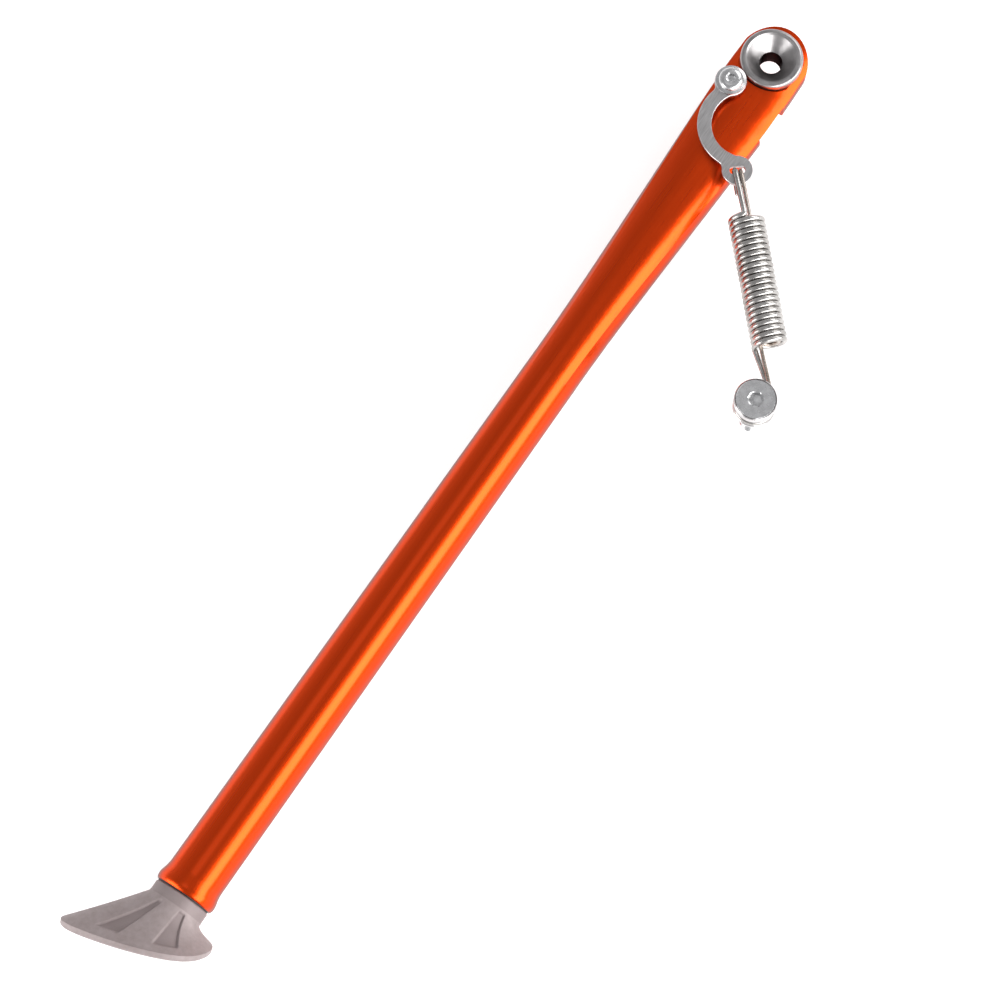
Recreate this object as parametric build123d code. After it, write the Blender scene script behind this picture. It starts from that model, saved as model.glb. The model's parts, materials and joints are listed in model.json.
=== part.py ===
from build123d import *
import math
import os

# Side stand (kickstand) for an off-road motorcycle, stowed.
# Row frame: origin on the pivot axis at the tube's centreline; +X runs down the leg to the foot;
# +Z is the pivot axis and points outboard, away from the motorcycle; +Y completes the right-handed set.
# All sizes are in millimetres and all angles in degrees.

CUT_THROUGH = 60.0  # longer than any part is thick
OVERRUN = 1.0  # how far a cut or a join runs past the face it must reach
CLOSE_FIT = 0.05  # a clearance that only keeps neighbours from touching

# ---- leg ----
HEAD_RADIUS = 14.0  # rounded end round the pivot
HEAD_FRONT = 6.3  # crest of the outboard face
HEAD_BACK = -6.0
HEAD_FRONT_CORNER = (13.4, 2.0)  # y, z of the crease between the crowned outboard face and the side wall
HEAD_BACK_CORNER = (13.3, -5.2)
SHAPED_LENGTH = 150.0  # the forged, flattened upper part
TUBE_RADIUS_TOP = 10.35
TUBE_RADIUS_FOOT = 10.85
# x, half width and squareness of the shaped part's sections; squareness runs from 1, flattened, to 0, round
LEG_STATIONS = [
    (0.0, HEAD_RADIUS, 1.0),
    (18.0, 14.15, 1.0),
    (38.0, 13.55, 0.93),
    (57.0, 12.8, 0.8),
    (84.0, 11.75, 0.55),
    (114.0, 10.75, 0.25),
    (SHAPED_LENGTH, TUBE_RADIUS_TOP, 0.0),
]
COLLAR_START = 373.6
COLLAR_CREST = (377.4, 11.65)  # x, radius
LEG_END = (381.0, 11.15)  # x, radius
FLARE_TANGENTS = [(1, 0.02), (1, -1.0)]  # of the collar's outline, at its start and its end
EYE_RADIUS = 8.05  # pivot eye, bored through the head
SPOTFACE_RADIUS = 12.4
SPOTFACE_FLOOR = 3.6
NOTCH_START = 12.5  # notch in the inboard side that clears the frame's stop lug
NOTCH_END = 29.0
NOTCH_FLOOR_Y = 6.5
NOTCH_TOP = 2.1
NOTCH_SLOPE = 4.0  # each way, of the notch's lower end
NOTCH_CORNER = 3.0
SPIGOT_BORE_RADIUS = 7.5
SPIGOT_BORE_DEPTH = 33.0

# ---- pivot bush and its seal ----
BUSH_FLANGE_RADIUS = 11.9
BUSH_FLANGE_UNDERSIDE = 4.4
BUSH_TOP = 8.6
BUSH_BOTTOM = -6.3
BUSH_SLEEVE_RADIUS = 8.0
BUSH_BORE_RADIUS = 4.3
BUSH_MOUTH_RADIUS = 9.3  # mouth of the 90 degree countersink
BUSH_RIM_ROUND = 1.3
SEAL_RADII = (8.15, 11.3)

# ---- spring link, its collar and screw ----
LINK_PIVOT_RADIUS = 18.4  # from the pivot axis to the collar
LINK_PIVOT_ANGLE = -24.4  # from +X
COLLAR_SEAT_FLOOR = 3.0
COLLAR_SEAT_RADIUS = 5.35
COLLAR_FLANGE_RADIUS = 5.2
COLLAR_FLANGE_TOP = 7.45
COLLAR_BARREL_RADIUS = 3.9
COLLAR_BARREL_TOP = 9.5
COLLAR_BORE_RADIUS = 2.75
LINK_BOTTOM = 7.55
LINK_THICKNESS = 1.8
LINK_ARC_RADIUS = 15.4  # centreline of the curved arm
LINK_ARM_WIDTH = 5.3
LINK_EYE_RADIUS = 6.0
LINK_FAR_EYE_RADIUS = 5.8
LINK_EDGE_BREAK = 0.2
LINK_HOLE_RADIUS = 3.95
LINK_WAIST_FILLET = 3.0
LINK_SPAN = 153.0  # round the bush between the two ends
LINK_FAR_RADIUS = 18.3
LINK_SLOT_LENGTH = 5.9
LINK_SLOT_WIDTH = 3.0
LINK_SCREW_RADIUS = 2.5
LINK_SCREW_LENGTH = 15.0  # under the head
LINK_SCREW_FLANGE_RADIUS = 5.9
LINK_SCREW_FLANGE = 1.0
LINK_SCREW_HEAD_RADIUS = 4.7
LINK_SCREW_HEAD_HEIGHT = 2.9
LINK_SCREW_HEX = 3.0  # across flats
TAPPED_CLEARANCE = 0.02
TAPPED_RUNOUT = 3.0  # of a tapped hole, past its screw's tip

# ---- springs ----
POST_DISTANCE = 136.0  # pivot axis to the spring post
POST_ANGLE = 30.4  # from +X, leg stowed
SWING = 110.0  # stowed to deployed
SPRING_PLANE = LINK_BOTTOM + LINK_THICKNESS / 2
HOOK_OFFSET = 9.4  # the far hooks' centre lies this far beside the coils' axis
OUTER_WIRE = 2.2
OUTER_COIL_RADIUS = 5.9  # to the wire's centre
OUTER_COIL = (16.5, 68.7)  # along the coil axis, from the slot's bearing edge
OUTER_NEAR_LANE = -0.85  # sideways place in the slot
OUTER_NEAR_BEND = (0.45, 0.0, 2.15)  # bend centre along the axis and in z, and its radius
OUTER_NEAR_TAIL = 7.0  # straight end of the small hook
OUTER_FAR_LANE = -1.05  # height of the far hook over the spring plane
INNER_WIRE = 1.5
INNER_COIL_RADIUS = 3.7
INNER_COIL = (17.5, 67.9)
INNER_NEAR_LANE = 1.2
INNER_NEAR_BEND = (1.85, -0.6, 3.2)
INNER_NEAR_TAIL = 2.6
INNER_FAR_LANE = 0.95
SLEEVE_MARGIN = 0.12  # the sleeve that stands for close coils is this much thicker than the wire, each way
WIRE_LEAD_IN = 0.6  # the hooks' wire starts this far inside the sleeve
NEAR_HOOK_END_ANGLE = 262.0
HOOK_END_ANGLE = -118.0  # where the far hooks stop, round the post

# ---- spring post and its screw ----
POST_RADIUS = 8.0
POST_HEIGHT = 10.0
POST_GROOVE_RADIUS = 5.85
POST_GROOVE_WIDTH = 4.4
POST_LOWER_FLANGE = 2.0
POST_BORE_RADIUS = 4.5  # clearance hole for the M8 screw
POST_MOUTH_RADIUS = 7.5
POST_BASE = SPRING_PLANE - 4.4
POST_SCREW_RADIUS = 4.0
POST_SCREW_NECK_RADIUS = 3.7  # plain shank inside the post
POST_SCREW_LENGTH = 30.0  # over the countersunk head
POST_SCREW_HEAD_RADIUS = 7.35
POST_SCREW_HEX = 5.0
POST_SCREW_LAND = 0.4  # cylindrical edge of the head

# ---- foot ----
FOOT_SEAL = (381.0, 381.6)  # x of its two faces
FOOT_SEAL_RADIUS = 10.5
NECK_RADIUS = 11.0
NECK_END = 386.1  # x
NECK_STEP = 0.15  # the neck is this much smaller in radius than the flare
SPIGOT_RADIUS = 7.45
SPIGOT_END = 349.0
SOLE_CENTRE_X = 399.5
SOLE_TURN = 19.7  # the sole's fore-and-aft slant
SOLE_TILT = 25.0  # the sole's lateral tilt, for the leg's lean
SOLE_THICKNESS = 2.6
# (toe, outboard) corners of the sole, from the point where the leg's axis meets it
SOLE_OUTLINE = [
    (32.3, 11.0),
    (21.5, 18.5),
    (4.0, 21.5),
    (-12.0, 19.0),
    (-20.5, 9.5),
    (-20.0, -4.5),
    (-5.0, -13.0),
    (12.0, -11.0),
    (25.5, -2.0),
]
WAIST_SHARE = 0.5  # the foot's middle section, between neck and sole
WAIST_PULL_HEEL = 0.84  # how far its flanks are drawn in at the heel
WAIST_PULL_TOE = 0.99  # and at the toe, which is almost straight
FOOT_SCREW_RADIUS = 3.0
FOOT_SCREW_TIP = 334.0  # x
FOOT_SCREW_SEAT = 387.0  # x of the washer's seat in the foot
FOOT_SCREW_HEAD_RADIUS = 5.0
FOOT_SCREW_HEAD_HEIGHT = 5.5
FOOT_SCREW_HEX = 5.0
WASHER_RADIUS = 5.9
WASHER_HOLE_RADIUS = 3.2
WASHER_THICKNESS = 1.2
COUNTERBORE_RADIUS = 6.2


def lerp(a, b, share):
    return a + (b - a) * share


def turned(*edges):
    """Turn a closed (radius, z) outline about the Z axis."""
    return revolve(Plane.XZ * make_face(edges), Axis.Z)


def tube_x(radius, start, end):
    """A rod along the leg's axis between two x stations."""
    return Pos((start + end) / 2, 0, 0) * Rot(0, 90, 0) * Cylinder(radius, end - start)


def pocket(radius):
    """A round cut with its floor at z=0."""
    return Pos(0, 0, CUT_THROUGH / 2) * Cylinder(radius, CUT_THROUGH)


def hex_socket(across_flats, depth):
    """A hexagonal recess whose floor is at z=-depth."""
    outline = RegularPolygon(across_flats / 2, 6, major_radius=False)
    return Pos(0, 0, -depth) * extrude(outline, amount=depth + OVERRUN)


def polar(radius, angle):
    return Vector(radius * math.cos(math.radians(angle)), radius * math.sin(math.radians(angle)), 0)


def leg_section(x, half_width, squareness):
    """The leg's outline at x: a circle at squareness 0, the flattened head at 1, in four arcs."""
    diagonal = half_width * math.sqrt(0.5)
    spread = half_width - HEAD_RADIUS
    front_y = lerp(diagonal, HEAD_FRONT_CORNER[0] + spread, squareness)
    front_z = lerp(diagonal, HEAD_FRONT_CORNER[1], squareness)
    back_y = lerp(diagonal, HEAD_BACK_CORNER[0] + spread, squareness)
    back_z = lerp(-diagonal, HEAD_BACK_CORNER[1], squareness)
    crest = lerp(half_width, HEAD_FRONT, squareness)
    keel = lerp(-half_width, HEAD_BACK, squareness)
    middle = lerp(0.0, (front_z + back_z) / 2, squareness)

    def point(y, z):
        return Vector(x, y, z)

    arcs = [
        ThreePointArc(point(-front_y, front_z), point(0, crest), point(front_y, front_z)),
        ThreePointArc(point(front_y, front_z), point(half_width, middle), point(back_y, back_z)),
        ThreePointArc(point(back_y, back_z), point(0, keel), point(-back_y, back_z)),
        ThreePointArc(point(-back_y, back_z), point(-half_width, middle), point(-front_y, front_z)),
    ]
    return Face(Wire(arcs))


def leg_blank():
    """The outer shape: shaped upper part, round tube and the collar at its end."""
    faces = [leg_section(x, half_width, squareness) for x, half_width, squareness in LEG_STATIONS]
    upper = loft(faces)
    end = extrude(faces[0], amount=HEAD_RADIUS + OVERRUN, dir=(-1, 0, 0))
    end &= Cylinder(HEAD_RADIUS, CUT_THROUGH)
    profile = Polyline((SHAPED_LENGTH, 0), (SHAPED_LENGTH, TUBE_RADIUS_TOP), (COLLAR_START, TUBE_RADIUS_FOOT))
    flare = Spline((COLLAR_START, TUBE_RADIUS_FOOT), COLLAR_CREST, LEG_END, tangents=FLARE_TANGENTS)
    close = Polyline(LEG_END, (LEG_END[0], 0), (SHAPED_LENGTH, 0))
    lower = revolve(make_face([profile, flare, close]), Axis.X)
    return upper + end + lower


def stop_notch():
    """The pocket milled into the inboard side below the pivot, with round corners."""
    reach = HEAD_RADIUS + 10
    outline = Polyline(
        (NOTCH_START, reach),
        (NOTCH_START, NOTCH_FLOOR_Y),
        (NOTCH_END - NOTCH_SLOPE, NOTCH_FLOOR_Y),
        (NOTCH_END + NOTCH_SLOPE, reach),
        (NOTCH_START, reach),
    )
    face = make_face(outline)
    face = fillet(face.vertices().sort_by(Axis.Y)[:2], NOTCH_CORNER)
    return Pos(0, 0, NOTCH_TOP - CUT_THROUGH) * extrude(face, amount=CUT_THROUGH)


LINK_PIVOT = polar(LINK_PIVOT_RADIUS, LINK_PIVOT_ANGLE)
POST = polar(POST_DISTANCE, POST_ANGLE)


def make_leg():
    """Anodised aluminium leg, bored for the bush, the collar, the foot's spigot and its screw."""
    leg = leg_blank() - stop_notch()
    leg -= Cylinder(EYE_RADIUS, CUT_THROUGH)
    leg -= Pos(0, 0, SPOTFACE_FLOOR) * pocket(SPOTFACE_RADIUS)
    leg -= Pos(LINK_PIVOT.X, LINK_PIVOT.Y, COLLAR_SEAT_FLOOR) * pocket(COLLAR_SEAT_RADIUS)
    leg -= Pos(LINK_PIVOT) * Cylinder(LINK_SCREW_RADIUS + TAPPED_CLEARANCE, CUT_THROUGH)
    bore_start = LEG_END[0] - SPIGOT_BORE_DEPTH
    leg -= tube_x(SPIGOT_BORE_RADIUS, bore_start, LEG_END[0] + OVERRUN)
    leg -= tube_x(FOOT_SCREW_RADIUS + TAPPED_CLEARANCE, FOOT_SCREW_TIP - TAPPED_RUNOUT, bore_start + OVERRUN)
    return leg


def make_pivot_bush():
    """Flanged steel sleeve with a 90 degree countersink; the leg turns on it."""
    chamfer = 0.6
    rim_foot = BUSH_TOP - BUSH_RIM_ROUND
    lip = BUSH_TOP - 0.5
    throat = lip - (BUSH_MOUTH_RADIUS - BUSH_BORE_RADIUS)
    outside = Polyline(
        (BUSH_BORE_RADIUS + chamfer, BUSH_BOTTOM),
        (BUSH_SLEEVE_RADIUS - chamfer, BUSH_BOTTOM),
        (BUSH_SLEEVE_RADIUS, BUSH_BOTTOM + chamfer),
        (BUSH_SLEEVE_RADIUS, BUSH_FLANGE_UNDERSIDE),
        (BUSH_FLANGE_RADIUS - chamfer, BUSH_FLANGE_UNDERSIDE),
        (BUSH_FLANGE_RADIUS, BUSH_FLANGE_UNDERSIDE + chamfer),
        (BUSH_FLANGE_RADIUS, rim_foot),
    )
    shoulder_turn = BUSH_RIM_ROUND * (1 - math.sqrt(0.5))
    shoulder = ThreePointArc(
        (BUSH_FLANGE_RADIUS, rim_foot),
        (BUSH_FLANGE_RADIUS - shoulder_turn, BUSH_TOP - shoulder_turn),
        (BUSH_FLANGE_RADIUS - BUSH_RIM_ROUND, BUSH_TOP),
    )
    inside = Polyline(
        (BUSH_FLANGE_RADIUS - BUSH_RIM_ROUND, BUSH_TOP),
        (BUSH_MOUTH_RADIUS + 0.7, BUSH_TOP),
        (BUSH_MOUTH_RADIUS, lip),
        (BUSH_BORE_RADIUS, throat),
        (BUSH_BORE_RADIUS, BUSH_BOTTOM + chamfer),
        (BUSH_BORE_RADIUS + chamfer, BUSH_BOTTOM),
    )
    return turned(outside, shoulder, inside)


def make_pivot_seal():
    """Rubber dust ring under the bush's flange."""
    inner, outer = SEAL_RADII
    low = SPOTFACE_FLOOR + CLOSE_FIT
    high = BUSH_FLANGE_UNDERSIDE - CLOSE_FIT
    middle = (low + high) / 2
    flat = Polyline((outer, low), (inner, low), (inner, high), (outer, high))
    return turned(flat, ThreePointArc((outer, high), (outer + 0.3, middle), (outer, low)))


def make_link_collar():
    """Flanged collar that the spring link turns on."""
    chamfer = 0.35
    outline = Polyline(
        (COLLAR_BORE_RADIUS, COLLAR_SEAT_FLOOR),
        (COLLAR_FLANGE_RADIUS, COLLAR_SEAT_FLOOR),
        (COLLAR_FLANGE_RADIUS, COLLAR_FLANGE_TOP - chamfer),
        (COLLAR_FLANGE_RADIUS - chamfer, COLLAR_FLANGE_TOP),
        (COLLAR_BARREL_RADIUS, COLLAR_FLANGE_TOP),
        (COLLAR_BARREL_RADIUS, COLLAR_BARREL_TOP - chamfer),
        (COLLAR_BARREL_RADIUS - chamfer, COLLAR_BARREL_TOP),
        (COLLAR_BORE_RADIUS + chamfer, COLLAR_BARREL_TOP),
        (COLLAR_BORE_RADIUS, COLLAR_BARREL_TOP - chamfer),
        (COLLAR_BORE_RADIUS, COLLAR_SEAT_FLOOR),
    )
    return Pos(LINK_PIVOT) * turned(outline)


def make_link_screw():
    """Button-head screw with a flange; it clamps the collar to the leg."""
    tip = COLLAR_BARREL_TOP - LINK_SCREW_LENGTH
    seat = COLLAR_BARREL_TOP
    flange_top = seat + LINK_SCREW_FLANGE
    crown = seat + LINK_SCREW_HEAD_HEIGHT
    shank = Polyline(
        (0, crown),
        (0, tip),
        (LINK_SCREW_RADIUS - 0.5, tip),
        (LINK_SCREW_RADIUS, tip + 0.5),
        (LINK_SCREW_RADIUS, seat),
        (LINK_SCREW_FLANGE_RADIUS - 0.3, seat),
        (LINK_SCREW_FLANGE_RADIUS, seat + 0.3),
        (LINK_SCREW_HEAD_RADIUS, flange_top),
    )
    flat = LINK_SCREW_HEAD_RADIUS * 0.5
    dome = ThreePointArc(
        (LINK_SCREW_HEAD_RADIUS, flange_top),
        (LINK_SCREW_HEAD_RADIUS * 0.83, lerp(flange_top, crown, 0.68)),
        (flat, crown),
    )
    screw = turned(shank, dome, Line((flat, crown), (0, crown)))
    screw -= Pos(0, 0, crown) * hex_socket(LINK_SCREW_HEX, 2.0)
    return Pos(LINK_PIVOT) * screw


def deployed_line():
    """Angle of the line from the link's pivot to the post when the leg is down."""
    down = polar(LINK_PIVOT_RADIUS, LINK_PIVOT_ANGLE - SWING)
    reach = POST - down
    return math.degrees(math.atan2(reach.Y, reach.X)), reach.length


def stowed_line():
    reach = POST - LINK_PIVOT
    return math.degrees(math.atan2(reach.Y, reach.X)), reach.length


def link_turn():
    """The link's turn from stowed to deployed, as seen from the motorcycle's frame."""
    return deployed_line()[0] - stowed_line()[0]


def link_end_deployed():
    return polar(LINK_FAR_RADIUS, LINK_PIVOT_ANGLE - SWING + LINK_SPAN)


def link_waist(end, end_radius, towards):
    """The eye at one end of the link and the two fillets that blend it into the arm."""
    inner = LINK_ARC_RADIUS - LINK_ARM_WIDTH / 2
    outer = LINK_ARC_RADIUS + LINK_ARM_WIDTH / 2
    base = math.degrees(math.atan2(end.Y, end.X))
    blend = LINK_WAIST_FILLET
    fillets = []
    joins = []
    for arm_radius, centre_radius in ((inner, inner - blend), (outer, outer + blend)):
        reach = end_radius + blend
        cosine = (centre_radius ** 2 + end.length ** 2 - reach ** 2) / (2 * centre_radius * end.length)
        angle = base + towards * math.degrees(math.acos(cosine))
        centre = polar(centre_radius, angle)
        on_eye = end + (centre - end) * (end_radius / reach)
        on_arm = polar(arm_radius, angle)
        bulge = centre + ((on_eye + on_arm) * 0.5 - centre).normalized() * blend
        fillets.append(ThreePointArc(on_eye, bulge, on_arm))
        joins.append((on_eye, on_arm))
    back = end + polar(end_radius, base - towards * 90)
    eye = ThreePointArc(joins[0][0], back, joins[1][0])
    return [eye] + fillets, joins[0][1], joins[1][1]


def make_spring_link():
    """Curved plate that wraps round the bush when the leg is down; it is drawn there, then turned to rest."""
    near = polar(LINK_PIVOT_RADIUS, LINK_PIVOT_ANGLE - SWING)
    far = link_end_deployed()
    middle = LINK_PIVOT_ANGLE - SWING + LINK_SPAN / 2
    near_edges, near_inner, near_outer = link_waist(near, LINK_EYE_RADIUS, 1)
    far_edges, far_inner, far_outer = link_waist(far, LINK_FAR_EYE_RADIUS, -1)
    inner_arc = ThreePointArc(near_inner, polar(LINK_ARC_RADIUS - LINK_ARM_WIDTH / 2, middle), far_inner)
    outer_arc = ThreePointArc(near_outer, polar(LINK_ARC_RADIUS + LINK_ARM_WIDTH / 2, middle), far_outer)
    outline = Face(Wire(near_edges + far_edges + [inner_arc, outer_arc]))
    body = extrude(outline, amount=LINK_THICKNESS, dir=(0, 0, 1))
    body = chamfer(body.faces().filter_by(Axis.Z).edges(), LINK_EDGE_BREAK)
    body -= Pos(near) * Cylinder(LINK_HOLE_RADIUS, CUT_THROUGH)
    slot = RectangleRounded(LINK_SLOT_WIDTH, LINK_SLOT_LENGTH, LINK_SLOT_WIDTH / 2 - 0.2)
    slot_place = Pos(far.X, far.Y, -OVERRUN) * Rot(0, 0, deployed_line()[0])
    body -= slot_place * extrude(slot, amount=LINK_THICKNESS + 2 * OVERRUN)
    to_rest = Pos(LINK_PIVOT) * Rot(0, 0, -link_turn()) * Pos(-near)
    return Pos(0, 0, LINK_BOTTOM) * to_rest * body


def slot_edge():
    """The slot edge that the near hooks bear on, at rest."""
    angle, _ = stowed_line()
    near = polar(LINK_PIVOT_RADIUS, LINK_PIVOT_ANGLE - SWING)
    chord = (link_end_deployed() - near).length + LINK_SLOT_WIDTH / 2
    return LINK_PIVOT + polar(chord, angle)


def spring_place():
    """Where the springs' own frame lies: x along the coils, from the slot's bearing edge."""
    edge = slot_edge()
    angle, _ = stowed_line()
    length = (POST - edge).length
    lean = math.degrees(math.asin(HOOK_OFFSET / length))
    axial = length * math.cos(math.radians(lean))
    place = Pos(edge.X, edge.Y, SPRING_PLANE) * Rot(0, 0, angle + lean)
    return place, axial


def tangent_point(point, centre, radius, side):
    """Where the line from point touches the circle, on its left (+1) or right (-1) side."""
    reach = centre - point
    heading = math.atan2(reach.Y, reach.X)
    half = math.acos(radius / reach.length)
    angle = heading + math.pi - side * half
    return centre + Vector(radius * math.cos(angle), radius * math.sin(angle), 0)


def hooked_wire(start, centre, radius, side, end_angle, tail=0.0):
    """A straight run from start that bends round centre; drawn in the XY plane."""
    touch = tangent_point(start, centre, radius, side)
    begin = math.degrees(math.atan2(touch.Y - centre.Y, touch.X - centre.X))
    if side > 0 and end_angle > begin:
        end_angle -= 360
    if side < 0 and end_angle < begin:
        end_angle += 360
    finish = centre + polar(radius, end_angle)
    middle = centre + polar(radius, (begin + end_angle) / 2)
    edges = [Line(start, touch), ThreePointArc(touch, middle, finish)]
    if tail > 0:
        edges.append(Line(finish, finish + polar(tail, end_angle - side * 90)))
    return Wire(edges)


def swept_wire(path, wire):
    """A round wire along the path."""
    section = Plane(path @ 0, z_dir=path % 0) * Circle(wire / 2)
    return sweep(section, path, transition=Transition.RIGHT)


def make_spring(wire, coil_radius, coil, near_lane, near_bend, near_tail, far_lane):
    """Close-wound coils as a plain sleeve, a small hook in the link's slot and a large one on the post."""
    place, axial = spring_place()
    outer = coil_radius + wire / 2 + SLEEVE_MARGIN
    inner = coil_radius - wire / 2 - SLEEVE_MARGIN
    length = coil[1] - coil[0]
    coils = Cylinder(outer, length) - Cylinder(inner, length)
    sleeve = Pos((coil[0] + coil[1]) / 2, 0, 0) * Rot(0, 90, 0) * coils
    post_hook_radius = POST_GROOVE_RADIUS + CLOSE_FIT + wire / 2
    far_start = Vector(coil[1] - WIRE_LEAD_IN, -math.sqrt(coil_radius ** 2 - far_lane ** 2), 0)
    far_centre = Vector(axial, -HOOK_OFFSET, 0)
    far_path = hooked_wire(far_start, far_centre, post_hook_radius, 1, HOOK_END_ANGLE)
    far = Pos(0, 0, far_lane) * swept_wire(far_path, wire)
    near_start = Vector(coil[0] + WIRE_LEAD_IN, math.sqrt(coil_radius ** 2 - near_lane ** 2), 0)
    bend = Vector(near_bend[0], near_bend[1], 0)
    near_path = hooked_wire(near_start, bend, near_bend[2], -1, NEAR_HOOK_END_ANGLE, near_tail)
    near = Pos(0, near_lane, 0) * Rot(90, 0, 0) * swept_wire(near_path, wire)
    return place * (sleeve + far + near)


def make_spring_post():
    """Grooved, countersunk spool on the motorcycle's frame; the springs' large hooks sit in its groove."""
    chamfer = 0.4
    top = POST_BASE + POST_HEIGHT
    groove_low = POST_BASE + POST_LOWER_FLANGE
    groove_high = groove_low + POST_GROOVE_WIDTH
    lip = top - 0.3
    outline = Polyline(
        (POST_BORE_RADIUS, POST_BASE),
        (POST_RADIUS - chamfer, POST_BASE),
        (POST_RADIUS, POST_BASE + chamfer),
        (POST_RADIUS, groove_low - chamfer),
        (POST_RADIUS - chamfer, groove_low),
        (POST_GROOVE_RADIUS, groove_low),
        (POST_GROOVE_RADIUS, groove_high),
        (POST_RADIUS - chamfer, groove_high),
        (POST_RADIUS, groove_high + chamfer),
        (POST_RADIUS, lip),
        (POST_RADIUS - 0.3, top),
        (POST_MOUTH_RADIUS + 0.1, top),
        (POST_MOUTH_RADIUS, lip),
        (POST_BORE_RADIUS, lip - (POST_MOUTH_RADIUS - POST_BORE_RADIUS)),
        (POST_BORE_RADIUS, POST_BASE),
    )
    return Pos(POST) * turned(outline)


def make_spring_post_screw():
    """M8 countersunk screw through the post."""
    top = POST_BASE + POST_HEIGHT
    tip = top - POST_SCREW_LENGTH
    cone_foot = top - POST_SCREW_LAND - (POST_SCREW_HEAD_RADIUS - POST_SCREW_NECK_RADIUS)
    outline = Polyline(
        (0, top),
        (0, tip),
        (POST_SCREW_RADIUS - 0.8, tip),
        (POST_SCREW_RADIUS, tip + 0.8),
        (POST_SCREW_RADIUS, POST_BASE),
        (POST_SCREW_NECK_RADIUS, POST_BASE + 0.1),
        (POST_SCREW_NECK_RADIUS, cone_foot),
        (POST_SCREW_HEAD_RADIUS, top - POST_SCREW_LAND),
        (POST_SCREW_HEAD_RADIUS, top),
        (0, top),
    )
    screw = turned(outline) - Pos(0, 0, top) * hex_socket(POST_SCREW_HEX, 3.2)
    return Pos(POST) * screw


def sole_axes():
    """Toe direction, outboard direction and downward normal of the sole."""
    turn = math.radians(SOLE_TURN)
    tilt = math.radians(SOLE_TILT)
    toe = Vector(math.sin(turn), -math.cos(turn), 0)
    level = Vector(math.cos(turn), math.sin(turn), 0)
    up = Vector(0, 0, 1)
    outboard = level * math.sin(tilt) + up * math.cos(tilt)
    down = level * math.cos(tilt) - up * math.sin(tilt)
    return toe, outboard, down


def foot_sections():
    """Neck, waist, sole top and sole bottom outlines of the foot, as matching points."""
    toe, outboard, down = sole_axes()
    centre = Vector(SOLE_CENTRE_X, 0, 0)
    toe_end = max(along for along, across in SOLE_OUTLINE)
    heel_end = min(along for along, across in SOLE_OUTLINE)
    neck = []
    waist = []
    sole = []
    for along, across in SOLE_OUTLINE:
        corner = centre + toe * along + outboard * across - down * SOLE_THICKNESS
        angle = math.atan2(corner.Z, corner.Y)
        collar = Vector(NECK_END, NECK_RADIUS * math.cos(angle), NECK_RADIUS * math.sin(angle))
        middle = lerp(collar, corner, WAIST_SHARE)
        neck.append(collar)
        pull = lerp(WAIST_PULL_HEEL, WAIST_PULL_TOE, (along - heel_end) / (toe_end - heel_end))
        waist.append(Vector(middle.X, middle.Y * pull, middle.Z * pull))
        sole.append(corner)
    return neck, waist, sole


def flared_foot():
    """The flare from neck to sole, and the tread plate under it."""
    wires = [Wire([Spline(points, periodic=True)]) for points in foot_sections()]
    flare = Solid.make_loft(wires)
    tread_face = Face(wires[-1])
    tread = Solid.extrude(tread_face, sole_axes()[2] * SOLE_THICKNESS)
    return flare + tread


def make_foot():
    """Cast foot: a flare from a round neck to the tilted sole, on a spigot inside the leg."""
    foot = flared_foot()
    foot += tube_x(NECK_RADIUS - NECK_STEP, FOOT_SEAL[1], NECK_END + 2 * OVERRUN)
    foot += tube_x(SPIGOT_RADIUS, SPIGOT_END, FOOT_SEAL[1] + OVERRUN)
    foot -= tube_x(FOOT_SCREW_RADIUS + CLOSE_FIT, SPIGOT_END - OVERRUN, FOOT_SCREW_SEAT + OVERRUN)
    foot -= tube_x(COUNTERBORE_RADIUS, FOOT_SCREW_SEAT, FOOT_SCREW_SEAT + CUT_THROUGH)
    return foot


def make_foot_seal():
    """Thin gasket between the leg's end and the foot."""
    hole_radius = SPIGOT_RADIUS + 2 * CLOSE_FIT
    hole = tube_x(hole_radius, FOOT_SEAL[0] - OVERRUN, FOOT_SEAL[1] + OVERRUN)
    return tube_x(FOOT_SEAL_RADIUS, *FOOT_SEAL) - hole


def make_foot_screw():
    """M6 cap screw up through the sole, into the leg."""
    seat = FOOT_SCREW_SEAT + WASHER_THICKNESS
    screw = tube_x(FOOT_SCREW_RADIUS, FOOT_SCREW_TIP, seat + OVERRUN)
    screw += tube_x(FOOT_SCREW_HEAD_RADIUS, seat, seat + FOOT_SCREW_HEAD_HEIGHT)
    screw -= Pos(seat + FOOT_SCREW_HEAD_HEIGHT, 0, 0) * Rot(0, 90, 0) * hex_socket(FOOT_SCREW_HEX, 3.0)
    return screw


def make_foot_washer():
    """Plain washer under the cap screw's head."""
    end = FOOT_SCREW_SEAT + WASHER_THICKNESS
    hole = tube_x(WASHER_HOLE_RADIUS, FOOT_SCREW_SEAT - OVERRUN, end + OVERRUN)
    return tube_x(WASHER_RADIUS, FOOT_SCREW_SEAT, end) - hole


PARTS = {
    "leg": make_leg(),
    "pivot_bush": make_pivot_bush(),
    "pivot_seal": make_pivot_seal(),
    "link_collar": make_link_collar(),
    "link_screw": make_link_screw(),
    "spring_link": make_spring_link(),
    "outer_spring": make_spring(OUTER_WIRE, OUTER_COIL_RADIUS, OUTER_COIL, OUTER_NEAR_LANE,
                                OUTER_NEAR_BEND, OUTER_NEAR_TAIL, OUTER_FAR_LANE),
    "inner_spring": make_spring(INNER_WIRE, INNER_COIL_RADIUS, INNER_COIL, INNER_NEAR_LANE,
                                INNER_NEAR_BEND, INNER_NEAR_TAIL, INNER_FAR_LANE),
    "spring_post": make_spring_post(),
    "spring_post_screw": make_spring_post_screw(),
    "foot": make_foot(),
    "foot_seal": make_foot_seal(),
    "foot_screw": make_foot_screw(),
    "foot_washer": make_foot_washer(),
}

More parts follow.
